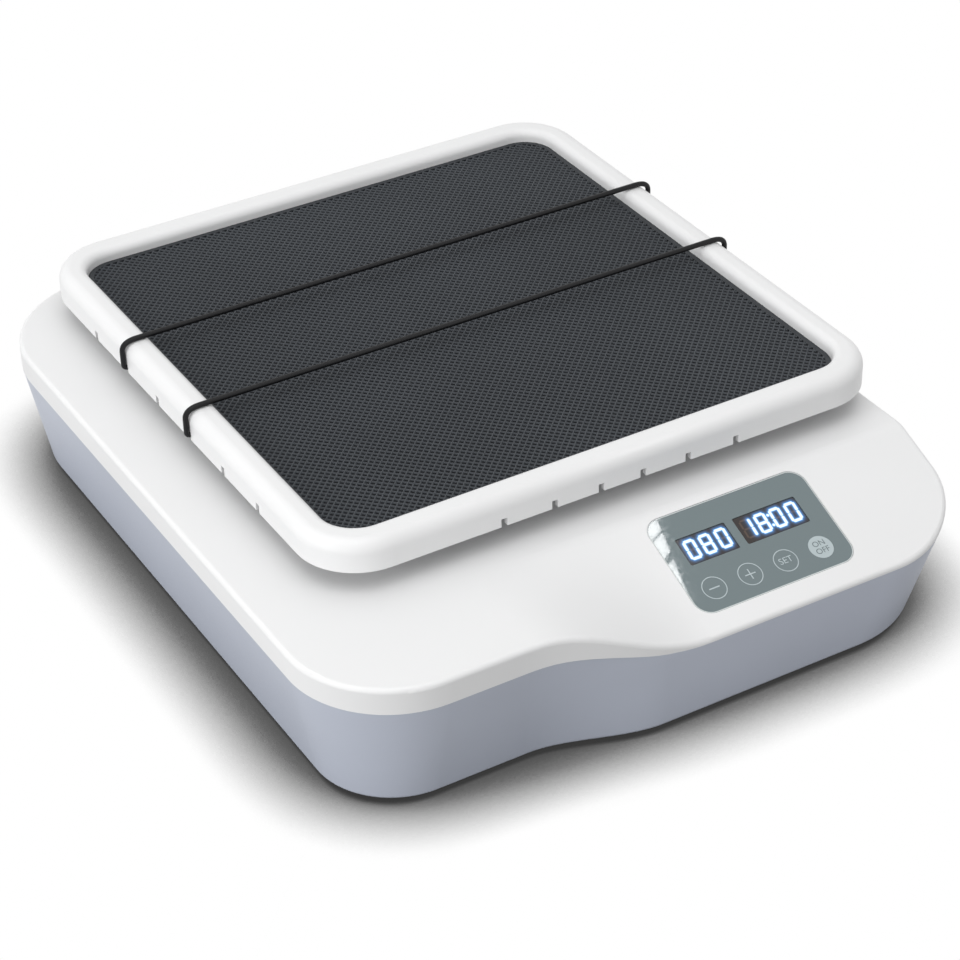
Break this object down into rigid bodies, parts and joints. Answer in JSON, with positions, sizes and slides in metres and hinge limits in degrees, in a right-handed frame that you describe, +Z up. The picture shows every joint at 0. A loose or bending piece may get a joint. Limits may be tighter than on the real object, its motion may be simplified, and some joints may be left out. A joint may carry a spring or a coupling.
{
  "type": "orbital shaker",
  "caption": "Bench orbital shaker: a rimmed tray with a rubber mat and elastic bands circles on cranks over a moulded base with a sloping control panel.",
  "frame": {"origin": "centre of the base's footprint at the undersides of the feet", "axes": "+Z up, +Y to the rear with the connectors, +X to the right where the control panel is; the tray stands with its crank 30 degrees from +X"},
  "size_m": [0.3181, 0.3796, 0.0937],
  "materials": {
    "cover_white": "fine satin moulded",
    "shell_grey": "fine satin moulded",
    "mat_rubber": "embossed diamond relief",
    "elastic_black": "braided elastic",
    "panel_film": "glossy printed film",
    "display_window": "smoked glossy",
    "circuit_board": "solder mask",
    "pad_foam": "conductive foam",
    "screw_steel": "zinc plated",
    "foot_rubber": "matte",
    "plate_steel": "zinc plated sheet",
    "housing_aluminium": "turned",
    "bearing_steel": "ground",
    "shaft_steel": "turned",
    "magnet_metal": "nickel plated",
    "belt_rubber": "matte",
    "motor_metal": "satin",
    "connector_black": "fine grain"
  },
  "bodies": {
    "base": {"top_cover": "cover_white", "lower_shell": "shell_grey", "panel_overlay": "panel_film", "display_speed": "display_window", "display_time": "display_window", "control_board": "circuit_board", "driver_board": "circuit_board", "speed_sensor": "circuit_board", "touch_pads": "pad_foam", "board_screws": "screw_steel", "driver_screws": "screw_steel", "foot_screws": "screw_steel", "cover_screws": "screw_steel", "chassis_screws": "screw_steel", "housing_screws": "screw_steel", "motor_screws": "screw_steel", "foot_front_left": "foot_rubber", "foot_front_right": "foot_rubber", "foot_rear_left": "foot_rubber", "foot_rear_right": "foot_rubber", "chassis_plate": "plate_steel", "main_bearing_housing": "housing_aluminium", "idler_housing_1": "housing_aluminium", "idler_housing_2": "housing_aluminium", "idler_housing_3": "housing_aluminium", "idler_housing_4": "housing_aluminium", "main_bearing_lower": "bearing_steel", "main_bearing_upper": "bearing_steel", "idler_bearings_1": "bearing_steel", "idler_bearings_2": "bearing_steel", "idler_bearings_3": "bearing_steel", "idler_bearings_4": "bearing_steel", "drive_belt": "belt_rubber", "drive_motor": "motor_metal", "power_inlet": "connector_black", "power_switch_frame": "connector_black"},
    "drive_crank": {"main_shaft": "shaft_steel", "crank_arm": "shaft_steel", "counterweight": "plate_steel", "drive_pulley": "housing_aluminium", "grub_screws": "screw_steel", "sensor_magnet": "magnet_metal"},
    "platform": {"tray": "cover_white", "tray_mat": "mat_rubber", "tray_carrier": "plate_steel", "carrier_screws": "screw_steel", "carrier_bearing_main": "bearing_steel", "carrier_bearings_outer": "bearing_steel", "band_beads": "elastic_black", "band_front": "elastic_black", "band_rear": "elastic_black"},
    "motor_rotor": {"motor_shaft": "shaft_steel", "motor_pulley": "housing_aluminium"},
    "rocker": {"power_switch_rocker": "connector_black"},
    "idler_1": {"idler_crank_1": "shaft_steel"},
    "idler_2": {"idler_crank_2": "shaft_steel"},
    "idler_3": {"idler_crank_3": "shaft_steel"},
    "idler_4": {"idler_crank_4": "shaft_steel"}
  },
  "joints": [
    {"name": "crank_spin", "type": "hinge", "parent": "base", "child": "drive_crank", "pos_m": [0.0068, 0.028, 0.069], "axis": [0, 0, 1], "continuous": true},
    {"name": "tray_level", "type": "hinge", "parent": "drive_crank", "child": "platform", "pos_m": [0.01546, 0.033, 0.075], "axis": [0, 0, 1], "continuous": true},
    {"name": "motor_spin", "type": "hinge", "parent": "base", "child": "motor_rotor", "pos_m": [-0.087, 0.015, 0.024], "axis": [0, 0, 1], "continuous": true},
    {"name": "power_rock", "type": "hinge", "parent": "base", "child": "rocker", "pos_m": [0.016, 0.1792, 0.0275], "axis": [1, 0, 0], "range_deg": [0, 20]},
    {"name": "idler_spin_1", "type": "hinge", "parent": "base", "child": "idler_1", "pos_m": [-0.0882, -0.072, 0.069], "axis": [0, 0, 1], "continuous": true},
    {"name": "idler_spin_2", "type": "hinge", "parent": "base", "child": "idler_2", "pos_m": [0.1018, -0.072, 0.069], "axis": [0, 0, 1], "continuous": true},
    {"name": "idler_spin_3", "type": "hinge", "parent": "base", "child": "idler_3", "pos_m": [-0.0882, 0.128, 0.069], "axis": [0, 0, 1], "continuous": true},
    {"name": "idler_spin_4", "type": "hinge", "parent": "base", "child": "idler_4", "pos_m": [0.1018, 0.128, 0.069], "axis": [0, 0, 1], "continuous": true}
  ],
  "couplings": [
    {"joint": "tray_level", "follows": "crank_spin", "ratio": -1},
    {"joint": "motor_spin", "follows": "crank_spin", "ratio": 4.6522},
    {"joint": "idler_spin_1", "follows": "crank_spin", "ratio": 1},
    {"joint": "idler_spin_2", "follows": "crank_spin", "ratio": 1},
    {"joint": "idler_spin_3", "follows": "crank_spin", "ratio": 1},
    {"joint": "idler_spin_4", "follows": "crank_spin", "ratio": 1}
  ]
}
